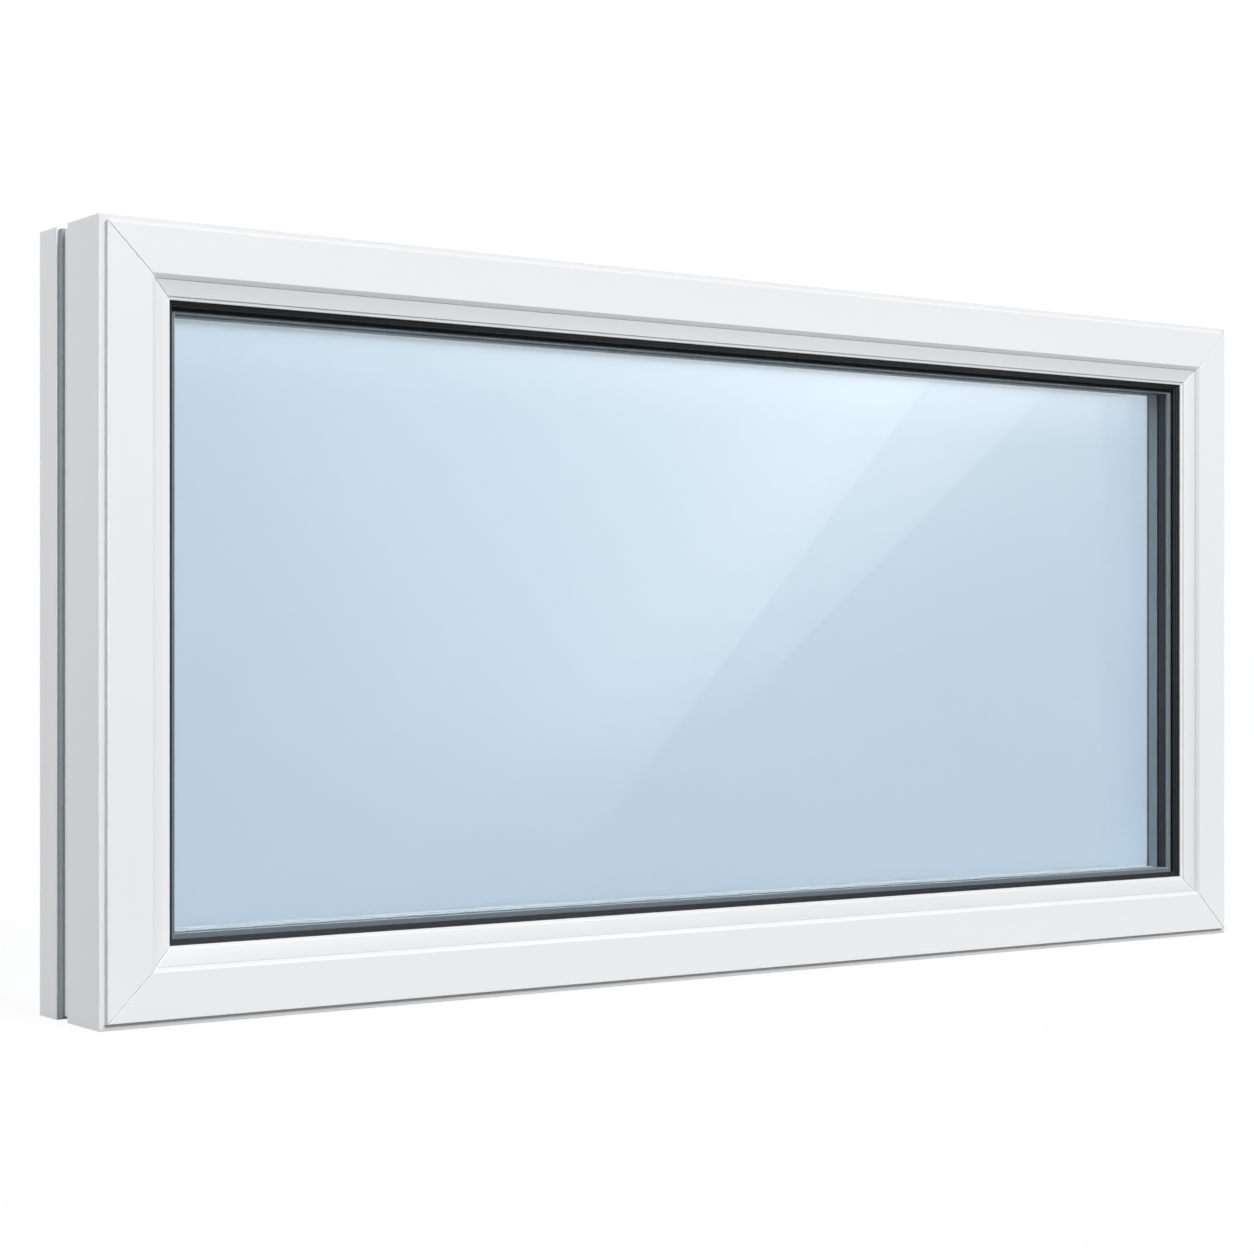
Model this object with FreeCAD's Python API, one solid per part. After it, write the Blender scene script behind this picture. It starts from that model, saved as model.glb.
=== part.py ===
import FreeCAD, Part
import math
import os

os.makedirs("parts", exist_ok=True)

# Overall sizes of the window, in millimetres
width = 1200.0
height = 600.0
depth = 115.0

# Front of the frame profile: a runs inwards from the outer edge, b runs back from the front face
lip_width = 5.0
lip_setback = 4.5
face_width = 35.5
face_chamfer_in = 3.5
face_chamfer_back = 2.5

# Walls and webs of the hollow frame
wall = 2.8
web = 1.6
front_chamber = 15.2
leg_thick = 7.0
rear_rise = 17.5

# Installation groove round the outside and the seal strip in it
groove_width = 19.5
groove_depth = 3.6
strip_width = 6.4
strip_thick = 2.0

# Glazing bead
bead_gap = 0.4
bead_depth = 10.1
bead_wall = 1.6
bevel_run = 12.0
bevel_drop = 4.1
nose_step = 0.9
nose_run = 2.6
nose_drop = 0.9
nose_thick = 1.2
nose_ledge = 1.4
clip_setback = 5.1
clip_width = 3.0
clip_depth = 4.0
clip_floor = 3.0
clip_play = 0.2

# Insulating glass unit, three panes with two cavities
pane_thick = 4.0
cavity = 12.0
glass_clearance = 9.5
seal_depth = 4.5
spacer_height = 9.0
spacer_wall = 0.8
spacer_taper = 2.0

# Gaskets and their slots
front_gasket_gap = 2.5
rear_gasket_gap = 4.0
gasket_reach = 4.4
gasket_lip = 0.9
gasket_relief = 0.8
gasket_heel = 1.0
rear_gasket_reach = 2.3
seat_width = 1.6
seat_deep = 2.4
slot_width = 2.6
slot_deep = 2.8
slot_cover = 2.9

# Support blocks in the glazing rebate
block_length = 100.0
block_inset = 170.0

# Weep slots in the underside of the sill
weep_length = 30.0
weep_width = 5.0
weep_pitch = 700.0
weep_setback = 10.0

# Corner seams and edge radii
seam = 0.6
edge_round = 0.8
lip_round = 0.6
rear_round = 2.0
outer_round = 1.0
groove_round = 0.8
fine_round = 0.3

# Lines that the pieces share
half_w = width / 2.0
half_d = depth / 2.0
face_end = lip_width + face_width
rebate_floor = face_end + face_chamfer_in
bead_front = face_chamfer_back + bead_gap
bead_rear = bead_front + bead_depth
glass_front = bead_rear + front_gasket_gap
glass_rear = glass_front + 3.0 * pane_thick + 2.0 * cavity
rear_leg_front = glass_rear + rear_gasket_gap
rear_sight = rebate_floor + rear_rise
groove_front = rear_leg_front + leg_thick
groove_rear = groove_front + groove_width
glass_edge = rebate_floor + glass_clearance
spacer_outer = glass_edge + seal_depth
spacer_inner = spacer_outer + spacer_height
clip_front = bead_front + clip_setback
clip_rear = clip_front + clip_width
clip_end = rebate_floor - clip_depth
bevel_end = rebate_floor + bevel_run
bevel_back = bead_front + bevel_drop
nose_end = bevel_end + nose_run
nose_front = bevel_back + nose_step + nose_drop
nose_rear = nose_front + nose_thick
ledge = nose_end - nose_ledge
seat_high = ledge - bead_wall
seat_low = seat_high - seat_width
seat_back = bead_rear - seat_deep
slot_high = rear_sight - slot_cover
slot_low = slot_high - slot_width
slot_back = rear_leg_front + slot_deep
SIDES = ("sill", "head", "left", "right")


def place(side, a, b, s):
    """Point of a member: a inwards, b backwards, s along the member."""
    y = b - half_d
    if side == "sill":
        return FreeCAD.Vector(s, y, a)
    if side == "head":
        return FreeCAD.Vector(s, y, height - a)
    if side == "left":
        return FreeCAD.Vector(a - half_w, y, s)
    return FreeCAD.Vector(half_w - a, y, s)


def rounded(points):
    """Corner list (a, b, radius) turned into (start, middle, end) triples in the profile plane."""
    count = len(points)
    corners = []
    for i in range(count):
        pa, pb, r = points[i]
        if r <= 0.0:
            corners.append(((pa, pb), None, (pa, pb)))
            continue
        qa, qb = points[i - 1][0], points[i - 1][1]
        na, nb = points[(i + 1) % count][0], points[(i + 1) % count][1]
        la = math.hypot(qa - pa, qb - pb)
        lb = math.hypot(na - pa, nb - pb)
        ua, ub = (qa - pa) / la, (qb - pb) / la
        va, vb = (na - pa) / lb, (nb - pb) / lb
        half = math.acos(max(-1.0, min(1.0, ua * va + ub * vb))) / 2.0
        run = r / math.tan(half)
        reach = r / math.sin(half)
        ma, mb = ua + va, ub + vb
        ml = math.hypot(ma, mb)
        ca, cb = pa + ma / ml * reach, pb + mb / ml * reach
        mid = (ca - ma / ml * r, cb - mb / ml * r)
        corners.append(((pa + ua * run, pb + ub * run), mid, (pa + va * run, pb + vb * run)))
    return corners


def profile_wire(side, points, s):
    """Closed wire of a profile at the station s of a member."""
    corners = rounded(points)
    edges = []
    for i in range(len(corners)):
        start, mid, end = corners[i]
        following = corners[(i + 1) % len(corners)][0]
        if mid is not None:
            arc = [place(side, p[0], p[1], s) for p in (start, mid, end)]
            edges.append(Part.Arc(arc[0], arc[1], arc[2]).toShape())
        p = place(side, end[0], end[1], s)
        q = place(side, following[0], following[1], s)
        if p.distanceToPoint(q) > 1.0e-6:
            edges.append(Part.makeLine(p, q))
    return Part.Wire(Part.__sortEdges__(edges))


def span(side):
    """First station, length and direction of the extrusion of a member."""
    if side in ("sill", "head"):
        return -half_w, width, FreeCAD.Vector(width, 0, 0)
    return 0.0, height, FreeCAD.Vector(0, 0, height)


def mitre_wedge(side):
    """Prism that holds one side of the frame between its two corner mitres."""
    mid = height / 2.0
    low, high = -half_w, half_w
    if side == "sill":
        flat = [(low, 0.0), (high, 0.0), (high - mid, mid), (low + mid, mid)]
    elif side == "head":
        flat = [(low, height), (high, height), (high - mid, mid), (low + mid, mid)]
    elif side == "left":
        flat = [(low, 0.0), (low, height), (low + mid, mid)]
    else:
        flat = [(high, 0.0), (high, height), (high - mid, mid)]
    corners = [FreeCAD.Vector(x, -depth, z) for x, z in flat]
    face = Part.Face(Part.makePolygon(corners + [corners[0]]))
    return face.extrude(FreeCAD.Vector(0, 2.0 * depth, 0))


def bar(side, points):
    """A profile carried along the whole of one side, with square ends."""
    start, length, run = span(side)
    return Part.Face(profile_wire(side, points, start)).extrude(run)


def member(side, outer, holes=()):
    """A mitred member with its chambers."""
    solid = bar(side, outer)
    for hole in holes:
        solid = solid.cut(bar(side, hole))
    return solid.common(mitre_wedge(side)).Solids[0]


def seam_tools(first, last, back):
    """Fine V-shaped cutters along the four corner seams of one flat strip of a profile.

    first and last are (a, b) ends of the strip, back is the way into the material along depth.
    """
    tools = []
    for sx in (-1.0, 1.0):
        for sz in (-1.0, 1.0):
            ends = []
            for a, b in (first, last):
                z = a if sz < 0.0 else height - a
                ends.append(FreeCAD.Vector(sx * (half_w - a), b - half_d, z))
            run = ends[1] - ends[0]
            across = FreeCAD.Vector(-sz, 0.0, sx)
            across.normalize()
            inward = run.cross(across)
            inward.normalize()
            if inward.y * back < 0.0:
                inward = inward * -1.0
            high = ends[0] - inward * seam
            corners = [high + across * (2.0 * seam), ends[0] + inward * seam, high - across * (2.0 * seam)]
            tools.append(Part.Face(Part.makePolygon(corners + [corners[0]])).extrude(run))
    return tools


def seamed(solid, tools):
    """A member with its corner seams cut."""
    for tool in tools:
        solid = solid.cut(tool)
    return solid.Solids[0]


def save(node, shape):
    """Write one node."""
    shape.exportStep("parts/" + node + ".step")


def ring(outer, holes=()):
    """Four mitred members joined into one closed frame."""
    members = [member(side, outer, holes) for side in SIDES]
    joined = members[0].multiFuse(members[1:]).removeSplitter()
    return joined.Solids[0]


# Hollow frame profile with the glazing rebate, the bead slot, the gasket slot and the groove
frame_outer = [
    (0.0, lip_setback, lip_round),
    (lip_width, lip_setback, fine_round),
    (lip_width, 0.0, edge_round),
    (face_end, 0.0, lip_round),
    (rebate_floor, face_chamfer_back, fine_round),
    (rebate_floor, clip_front, 0.0),
    (clip_end, clip_front, 0.0),
    (clip_end, clip_rear, 0.0),
    (rebate_floor, clip_rear, 0.0),
    (rebate_floor, rear_leg_front, 0.0),
    (slot_low, rear_leg_front, 0.0),
    (slot_low, slot_back, 0.0),
    (slot_high, slot_back, 0.0),
    (slot_high, rear_leg_front, 0.0),
    (rear_sight, rear_leg_front, lip_round),
    (rear_sight, depth, rear_round),
    (0.0, depth, outer_round),
    (0.0, groove_rear, groove_round),
    (groove_depth, groove_rear, 0.0),
    (groove_depth, groove_front, 0.0),
    (0.0, groove_front, groove_round),
]
front_web = wall + front_chamber
corners_by_chamber = [
    [
        (wall, lip_setback + wall),
        (lip_width + wall, lip_setback + wall),
        (lip_width + wall, wall),
        (clip_end - clip_floor, wall),
        (clip_end - clip_floor, front_web),
        (wall, front_web),
    ],
    [
        (wall, front_web + web),
        (rebate_floor - wall, front_web + web),
        (rebate_floor - wall, groove_front - wall),
        (wall, groove_front - wall),
    ],
    [
        (groove_depth + wall, groove_front - wall + web),
        (rear_sight - wall, groove_front - wall + web),
        (rear_sight - wall, groove_rear + wall - web),
        (groove_depth + wall, groove_rear + wall - web),
    ],
    [
        (wall, groove_rear + wall),
        (rear_sight - wall, groove_rear + wall),
        (rear_sight - wall, depth - wall),
        (wall, depth - wall),
    ],
]
chambers = [[(a, b, fine_round) for a, b in corners] for corners in corners_by_chamber]

frame_seams = seam_tools((lip_width - seam, 0.0), (face_end + seam, 0.0), 1.0)
frame_seams = frame_seams + seam_tools((-seam, depth), (rear_sight + seam, depth), -1.0)
FRAME_NODES = {
    "sill": "frame_sill",
    "head": "frame_head",
    "left": "frame_jamb_left",
    "right": "frame_jamb_right",
}
for side in SIDES:
    solid = member(side, frame_outer, chambers)
    if side == "sill":
        for sign in (-1.0, 1.0):
            corner = FreeCAD.Vector(sign * weep_pitch / 2.0 - weep_length / 2.0, weep_setback - half_d, -wall)
            solid = solid.cut(Part.makeBox(weep_length, weep_width, 2.0 * wall + web, corner))
    save(FRAME_NODES[side], seamed(solid, frame_seams))

# Glazing beads with their snap-in foot and one chamber
foot_front = clip_front + clip_play
foot_rear = clip_rear - clip_play
bead_outer = [
    (rebate_floor, bead_front, fine_round),
    (bevel_end, bevel_back, fine_round),
    (bevel_end, bevel_back + nose_step, fine_round / 2.0),
    (nose_end, nose_front, lip_round),
    (nose_end, nose_rear, 0.0),
    (ledge, nose_rear, 0.0),
    (ledge, bead_rear, 0.0),
    (seat_high, bead_rear, 0.0),
    (seat_high, seat_back, 0.0),
    (seat_low, seat_back, 0.0),
    (seat_low, bead_rear, 0.0),
    (rebate_floor, bead_rear, 0.0),
    (rebate_floor, foot_rear, 0.0),
    (clip_end + clip_play, foot_rear, 0.0),
    (clip_end + clip_play, foot_front, 0.0),
    (rebate_floor, foot_front, 0.0),
]
bevel_slope = bevel_drop / bevel_run
skin = bead_wall * math.hypot(1.0, bevel_slope)
chamber_low = rebate_floor + bead_wall
chamber_high = seat_low - bead_wall
bead_chamber = [
    (chamber_low, bead_front + bevel_slope * (chamber_low - rebate_floor) + skin, fine_round),
    (chamber_high, bead_front + bevel_slope * (chamber_high - rebate_floor) + skin, fine_round),
    (chamber_high, bead_rear - bead_wall, fine_round),
    (chamber_low, bead_rear - bead_wall, fine_round),
]
bead_seams = seam_tools((rebate_floor, bead_front), (bevel_end, bevel_back), 1.0)
for side in SIDES:
    save("bead_" + side, seamed(member(side, bead_outer, [bead_chamber]), bead_seams))

# Front gasket seated in the bead and pressed on the outer pane
gasket_sight = nose_end + gasket_reach
front_gasket = [
    (ledge, nose_rear, 0.0),
    (ledge + gasket_relief, nose_rear, 0.0),
    (gasket_sight, glass_front - gasket_lip, fine_round),
    (gasket_sight, glass_front, 0.0),
    (seat_low - gasket_heel, glass_front, 0.0),
    (seat_low - gasket_heel, bead_rear, 0.0),
    (seat_low, bead_rear, 0.0),
    (seat_low, seat_back, 0.0),
    (seat_high, seat_back, 0.0),
    (seat_high, bead_rear, 0.0),
    (ledge, bead_rear, 0.0),
]
for side in SIDES:
    save("gasket_front_" + side, member(side, front_gasket))

# Rear gasket seated in the frame's rear leg and pressed on the inner pane
rear_gasket = [
    (slot_low - gasket_heel, glass_rear, 0.0),
    (rear_sight + rear_gasket_reach, glass_rear, 0.0),
    (rear_sight + rear_gasket_reach, glass_rear + gasket_lip, fine_round),
    (rear_sight - lip_round, rear_leg_front, 0.0),
    (slot_high, rear_leg_front, 0.0),
    (slot_high, slot_back, 0.0),
    (slot_low, slot_back, 0.0),
    (slot_low, rear_leg_front, 0.0),
    (slot_low - gasket_heel, rear_leg_front, 0.0),
]
for side in SIDES:
    save("gasket_rear_" + side, member(side, rear_gasket))

# Seal strip along the rear wall of the groove
strip = [
    (groove_depth - strip_thick, groove_rear - strip_width, fine_round),
    (groove_depth, groove_rear - strip_width, 0.0),
    (groove_depth, groove_rear, 0.0),
    (groove_depth - strip_thick, groove_rear, 0.0),
]
for side in SIDES:
    save("groove_seal_" + side, member(side, strip))

# Three panes, two spacer frames and their edge seals
pane_w = width - 2.0 * glass_edge
pane_h = height - 2.0 * glass_edge
for index, node in enumerate(("pane_outer", "pane_middle", "pane_inner")):
    y = glass_front + index * (pane_thick + cavity) - half_d
    save(node, Part.makeBox(pane_w, pane_thick, pane_h, FreeCAD.Vector(-pane_w / 2.0, y, glass_edge)))

taper_start = spacer_outer + 2.0 * spacer_taper
for index, tag in enumerate(("front", "rear")):
    b0 = glass_front + pane_thick + index * (pane_thick + cavity)
    b1 = b0 + cavity
    bar_profile = [
        (spacer_inner, b0, fine_round),
        (spacer_inner, b1, fine_round),
        (taper_start, b1, 0.0),
        (spacer_outer, b1 - spacer_taper, 0.0),
        (spacer_outer, b0 + spacer_taper, 0.0),
        (taper_start, b0, 0.0),
    ]
    bar_hollow = [
        (spacer_inner - spacer_wall, b0 + spacer_wall, 0.0),
        (spacer_inner - spacer_wall, b1 - spacer_wall, 0.0),
        (taper_start, b1 - spacer_wall, 0.0),
        (spacer_outer + spacer_wall, b1 - spacer_taper - spacer_wall / 2.0, 0.0),
        (spacer_outer + spacer_wall, b0 + spacer_taper + spacer_wall / 2.0, 0.0),
        (taper_start, b0 + spacer_wall, 0.0),
    ]
    save("spacer_" + tag, ring(bar_profile, [bar_hollow]))
    seal_profile = [
        (glass_edge, b0, 0.0),
        (taper_start, b0, 0.0),
        (spacer_outer, b0 + spacer_taper, 0.0),
        (spacer_outer, b1 - spacer_taper, 0.0),
        (taper_start, b1, 0.0),
        (glass_edge, b1, 0.0),
    ]
    save("edge_seal_" + tag, ring(seal_profile))

# Setting blocks under the unit and location blocks at its sides
unit_thick = glass_rear - glass_front
for tag, sign in (("left", -1.0), ("right", 1.0)):
    x = sign * (half_w - block_inset - block_length / 2.0) - block_length / 2.0
    corner = FreeCAD.Vector(x, glass_front - half_d, rebate_floor)
    save("setting_block_" + tag, Part.makeBox(block_length, unit_thick, glass_clearance, corner))
    low_x = rebate_floor - half_w if sign < 0.0 else half_w - glass_edge
    corner = FreeCAD.Vector(low_x, glass_front - half_d, height - block_inset - block_length)
    save("location_block_" + tag, Part.makeBox(glass_clearance, unit_thick, block_length, corner))
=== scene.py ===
import logging
import math
from dataclasses import dataclass, field
from enum import Enum
from typing import Any, Sequence

import bmesh
import bpy
import numpy as np
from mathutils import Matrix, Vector


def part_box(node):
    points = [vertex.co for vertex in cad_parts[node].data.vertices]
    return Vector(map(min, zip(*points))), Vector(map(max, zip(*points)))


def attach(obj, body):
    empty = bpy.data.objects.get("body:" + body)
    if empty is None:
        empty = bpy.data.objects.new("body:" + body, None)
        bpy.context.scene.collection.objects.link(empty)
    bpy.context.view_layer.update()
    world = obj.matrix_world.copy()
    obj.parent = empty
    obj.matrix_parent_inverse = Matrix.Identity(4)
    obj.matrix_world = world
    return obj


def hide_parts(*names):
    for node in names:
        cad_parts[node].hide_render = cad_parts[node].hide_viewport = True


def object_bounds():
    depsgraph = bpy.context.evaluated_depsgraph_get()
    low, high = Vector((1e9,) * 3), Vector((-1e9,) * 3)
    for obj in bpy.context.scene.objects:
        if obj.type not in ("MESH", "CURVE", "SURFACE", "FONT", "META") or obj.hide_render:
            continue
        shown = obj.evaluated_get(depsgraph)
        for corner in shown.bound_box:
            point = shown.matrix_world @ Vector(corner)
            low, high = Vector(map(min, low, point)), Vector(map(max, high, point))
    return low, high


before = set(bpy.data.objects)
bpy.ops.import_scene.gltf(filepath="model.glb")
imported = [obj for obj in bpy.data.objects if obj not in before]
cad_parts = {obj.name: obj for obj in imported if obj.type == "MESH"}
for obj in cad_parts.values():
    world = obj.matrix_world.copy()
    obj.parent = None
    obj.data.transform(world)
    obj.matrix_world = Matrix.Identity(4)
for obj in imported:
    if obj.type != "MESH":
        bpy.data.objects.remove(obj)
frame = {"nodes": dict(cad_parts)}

CAD_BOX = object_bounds()
LOG = logging.getLogger("picture_window")
Socket = bpy.types.NodeSocket
Pair = tuple[float, float]
Triple = tuple[float, float, float]
WHITE = (1.0, 1.0, 1.0, 1.0)
NODE_STEP = 190.0
SKIN_DEPTH = 0.0002
SHARP_ANGLE = math.radians(40.0)
RIB_STEPS = 8
GRID_POINTS = 9
DULL_LAMP = ("glossy", "transmission")
GLOSS_LAMP = ("diffuse", "transmission")


class Side(Enum):
    """The four sides of the window, as seen from outside."""

    SILL = "sill"
    HEAD = "head"
    LEFT = "left"
    RIGHT = "right"

    @property
    def lies_flat(self) -> bool:
        """True for the two sides that run along the width."""
        return self in (Side.SILL, Side.HEAD)


@dataclass(frozen=True)
class Lines:
    """Limits of one piece of a side, in metres: inwards from the outer edge, and back from the front face."""

    outer: float
    inner: float
    front: float
    rear: float


@dataclass(frozen=True)
class Hollow:
    """The hollow between frame and bead: how far its lines lie outwards from the bead's nose, in metres."""

    bottom: float = 0.0146
    frame_end: float = 0.0183
    bead_end: float = 0.0026

    def on_frame(self, nose: float) -> Pair:
        """Bottom of the hollow, and its end on the frame, for a nose that lies this far inwards."""
        return nose - self.bottom, nose - self.frame_end

    def on_bead(self, nose: float) -> Pair:
        """Bottom of the hollow, and its end on the bead, for a nose that lies this far inwards."""
        return nose - self.bottom, nose - self.bead_end


@dataclass(frozen=True)
class WindowSizes:
    """Overall sizes of the window, in metres, read from the solids."""

    width: float
    height: float
    depth: float

    @classmethod
    def read(cls) -> "WindowSizes":
        """Take the sizes from the box of the solids."""
        low, high = CAD_BOX
        return cls(high.x - low.x, high.z - low.z, high.y - low.y)

    @property
    def half_width(self) -> float:
        """Half of the width."""
        return self.width / 2.0

    @property
    def half_depth(self) -> float:
        """Half of the depth."""
        return self.depth / 2.0

    @property
    def sight_line(self) -> float:
        """How far inwards the spacer bars reach.

        Returns:
            The distance from the outer edge to the innermost points of the front bar.
        """
        points = frame["nodes"]["spacer_front"].data.vertices
        places = np.empty(len(points) * 3)
        points.foreach_get("co", places)
        return self.half_width - float(np.abs(places[0::3]).min())

    def lines(self, node: str) -> Lines:
        """Limits of a solid that lies on the sill.

        Args:
            node: the solid's name.

        Returns:
            Its limits in the profile's own directions.
        """
        low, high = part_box(node)
        return Lines(low.z, high.z, low.y + self.half_depth, high.y + self.half_depth)


class Board:
    """A node tree with short ways to place nodes and join their sockets."""

    def __init__(self, tree: bpy.types.NodeTree) -> None:
        """Keep the tree.

        Args:
            tree: the node tree that nodes are added to.
        """
        self.tree = tree
        self.column = 0

    def add(self, kind: str, **values: Any) -> bpy.types.Node:
        """Place one node.

        Args:
            kind: the node's type name.
            values: attributes of the node, or socket values under their lower-case names.

        Returns:
            The new node.
        """
        node = self.tree.nodes.new(kind)
        node.location = (self.column * NODE_STEP, 0.0)
        self.column += 1
        for name, value in values.items():
            socket = node.inputs.get(name.replace("_", " ").title())
            if socket is None:
                setattr(node, name, value)
            else:
                socket.default_value = value
        return node

    def join(self, source: Socket, target: Socket) -> None:
        """Link two sockets."""
        self.tree.links.new(source, target)

    def feed(self, value: Any, target: Socket) -> None:
        """Link a socket, or set a plain value, on an input.

        Args:
            value: the socket or the value.
            target: the input.
        """
        if isinstance(value, Socket):
            self.join(value, target)
        else:
            target.default_value = value

    def math(self, operation: str, *values: Any) -> Socket:
        """Place a Math node.

        Args:
            operation: the node's operation.
            values: sockets or numbers, in the order of the node's inputs.

        Returns:
            The output socket.
        """
        node = self.add("ShaderNodeMath", operation=operation)
        for index, value in enumerate(values):
            self.feed(value, node.inputs[index])
        return node.outputs[0]

    def blend(self, share: Any, first: Any, second: Any) -> Socket:
        """Mix two colours.

        Args:
            share: socket or number, 0 for the first colour and 1 for the second.
            first: socket, or three numbers.
            second: socket, or three numbers.

        Returns:
            The mixed colour.
        """
        node = self.add("ShaderNodeMix", data_type="RGBA")
        self.feed(share, node.inputs["Factor"])
        for colour, label in ((first, "A"), (second, "B")):
            target = next(s for s in node.inputs if s.name == label and s.type == "RGBA")
            self.feed(colour if isinstance(colour, Socket) else (*colour, 1.0), target)
        return next(s for s in node.outputs if s.type == "RGBA")

    def ramp(self, value: Any, low: Any, high: Any, smooth: bool = True) -> Socket:
        """Share of the way from low to high, kept between 0 and 1.

        Args:
            value: the socket that is measured.
            low: where the share is 0.
            high: where the share is 1.
            smooth: whether both ends are eased.

        Returns:
            The share.
        """
        kind = "SMOOTHSTEP" if smooth else "LINEAR"
        node = self.add("ShaderNodeMapRange", interpolation_type=kind, clamp=True)
        self.feed(value, node.inputs["Value"])
        self.feed(low, node.inputs["From Min"])
        self.feed(high, node.inputs["From Max"])
        return node.outputs["Result"]


def new_group(name: str, inputs: Sequence[tuple[str, str, Any]], outputs: Sequence[tuple[str, str]]) -> Board:
    """Make an empty shader node group with named sockets.

    Args:
        name: the group's name.
        inputs: name, socket type and first value of each input.
        outputs: name and socket type of each output.

    Returns:
        A board with the group's input and output nodes placed.
    """
    tree = bpy.data.node_groups.new(name, "ShaderNodeTree")
    for label, kind, value in inputs:
        socket = tree.interface.new_socket(name=label, in_out="INPUT", socket_type=kind)
        if value is not None:
            socket.default_value = value
    for label, kind in outputs:
        tree.interface.new_socket(name=label, in_out="OUTPUT", socket_type=kind)
    board = Board(tree)
    board.add("NodeGroupInput")
    board.add("NodeGroupOutput")
    return board


@dataclass
class SurfaceEffects:
    """Shader groups that more than one finish uses."""

    sizes: WindowSizes
    run_lines: bpy.types.NodeTree = field(init=False)
    skin: bpy.types.NodeTree = field(init=False)
    strip: bpy.types.NodeTree = field(init=False)

    def __post_init__(self) -> None:
        """Build the groups once."""
        self.run_lines = self._run_lines()
        self.skin = self._drawn_skin()
        self.strip = self._strip_mask()

    def _run_lines(self) -> bpy.types.NodeTree:
        """Directions of the four mitred sides, from the place on the window.

        Inwards is the shorter of the distances to an end and to the sill or head, along is the coordinate of
        the side that this distance belongs to, and the corner joint is where the two distances are the same.

        Returns:
            The group, with the outputs Run (along, inwards, back), Inwards, Back and Off Joint.
        """
        board = new_group(
            "run_lines",
            [("Vector", "NodeSocketVector", None)],
            [
                ("Run", "NodeSocketVector"),
                ("Inwards", "NodeSocketFloat"),
                ("Back", "NodeSocketFloat"),
                ("Off Joint", "NodeSocketFloat"),
            ],
        )
        entry, leave = board.tree.nodes[0], board.tree.nodes[1]
        split = board.add("ShaderNodeSeparateXYZ")
        board.join(entry.outputs["Vector"], split.inputs[0])
        across = board.math("SUBTRACT", self.sizes.half_width, board.math("ABSOLUTE", split.outputs["X"]))
        below = board.math("SUBTRACT", self.sizes.height, split.outputs["Z"])
        upright = board.math("MINIMUM", split.outputs["Z"], below)
        on_jamb = board.math("LESS_THAN", across, upright)
        apart = board.math("SUBTRACT", split.outputs["Z"], split.outputs["X"])
        along = board.math("MULTIPLY_ADD", on_jamb, apart, split.outputs["X"])
        back = board.math("ADD", split.outputs["Y"], self.sizes.half_depth)
        inwards = board.math("MINIMUM", across, upright)
        run = board.add("ShaderNodeCombineXYZ")
        board.join(along, run.inputs[0])
        board.join(inwards, run.inputs[1])
        board.join(back, run.inputs[2])
        board.join(run.outputs[0], leave.inputs["Run"])
        board.join(inwards, leave.inputs["Inwards"])
        board.join(back, leave.inputs["Back"])
        board.join(board.math("ABSOLUTE", board.math("SUBTRACT", across, upright)), leave.inputs["Off Joint"])
        return board.tree

    def _drawn_skin(self) -> bpy.types.NodeTree:
        """Fine die lines, noise stretched along the run, with a soft orange-peel and patches, noise as it is.

        Returns:
            The group, with the outputs Lines, Peel and Patch.
        """
        board = new_group(
            "drawn_skin",
            [
                ("Vector", "NodeSocketVector", None),
                ("Stretch", "NodeSocketVector", (0.02, 1.0, 1.0)),
                ("Line Scale", "NodeSocketFloat", 700.0),
                ("Peel Scale", "NodeSocketFloat", 260.0),
            ],
            [("Lines", "NodeSocketFloat"), ("Peel", "NodeSocketFloat"), ("Patch", "NodeSocketFloat")],
        )
        entry, leave = board.tree.nodes[0], board.tree.nodes[1]
        stretched = board.add("ShaderNodeVectorMath", operation="MULTIPLY")
        board.join(entry.outputs["Vector"], stretched.inputs[0])
        board.join(entry.outputs["Stretch"], stretched.inputs[1])
        lines = board.add("ShaderNodeTexNoise", detail=2.0)
        board.join(stretched.outputs[0], lines.inputs["Vector"])
        board.join(entry.outputs["Line Scale"], lines.inputs["Scale"])
        peel = board.add("ShaderNodeTexNoise", detail=3.0)
        board.join(entry.outputs["Vector"], peel.inputs["Vector"])
        board.join(entry.outputs["Peel Scale"], peel.inputs["Scale"])
        patch = board.add("ShaderNodeTexNoise", scale=5.0, detail=3.0)
        board.join(entry.outputs["Vector"], patch.inputs["Vector"])
        board.join(lines.outputs[0], leave.inputs["Lines"])
        board.join(peel.outputs[0], leave.inputs["Peel"])
        board.join(patch.outputs[0], leave.inputs["Patch"])
        return board.tree

    def _strip_mask(self) -> bpy.types.NodeTree:
        """Mask of a strip between two distances: a soft ramp up at its start times one down at its end.

        Returns:
            The group, with the output Mask.
        """
        board = new_group(
            "strip_mask",
            [
                ("Distance", "NodeSocketFloat", 0.0),
                ("Start", "NodeSocketFloat", 0.0),
                ("End", "NodeSocketFloat", 0.001),
                ("Softness", "NodeSocketFloat", 0.0002),
            ],
            [("Mask", "NodeSocketFloat")],
        )
        entry, leave = board.tree.nodes[0], board.tree.nodes[1]
        soft = entry.outputs["Softness"]
        begun = board.math("ADD", entry.outputs["Start"], soft)
        rise = board.ramp(entry.outputs["Distance"], entry.outputs["Start"], begun)
        ended = board.math("SUBTRACT", entry.outputs["End"], soft)
        fall = board.ramp(entry.outputs["Distance"], entry.outputs["End"], ended)
        board.join(board.math("MULTIPLY", rise, fall), leave.inputs["Mask"])
        return board.tree


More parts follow.
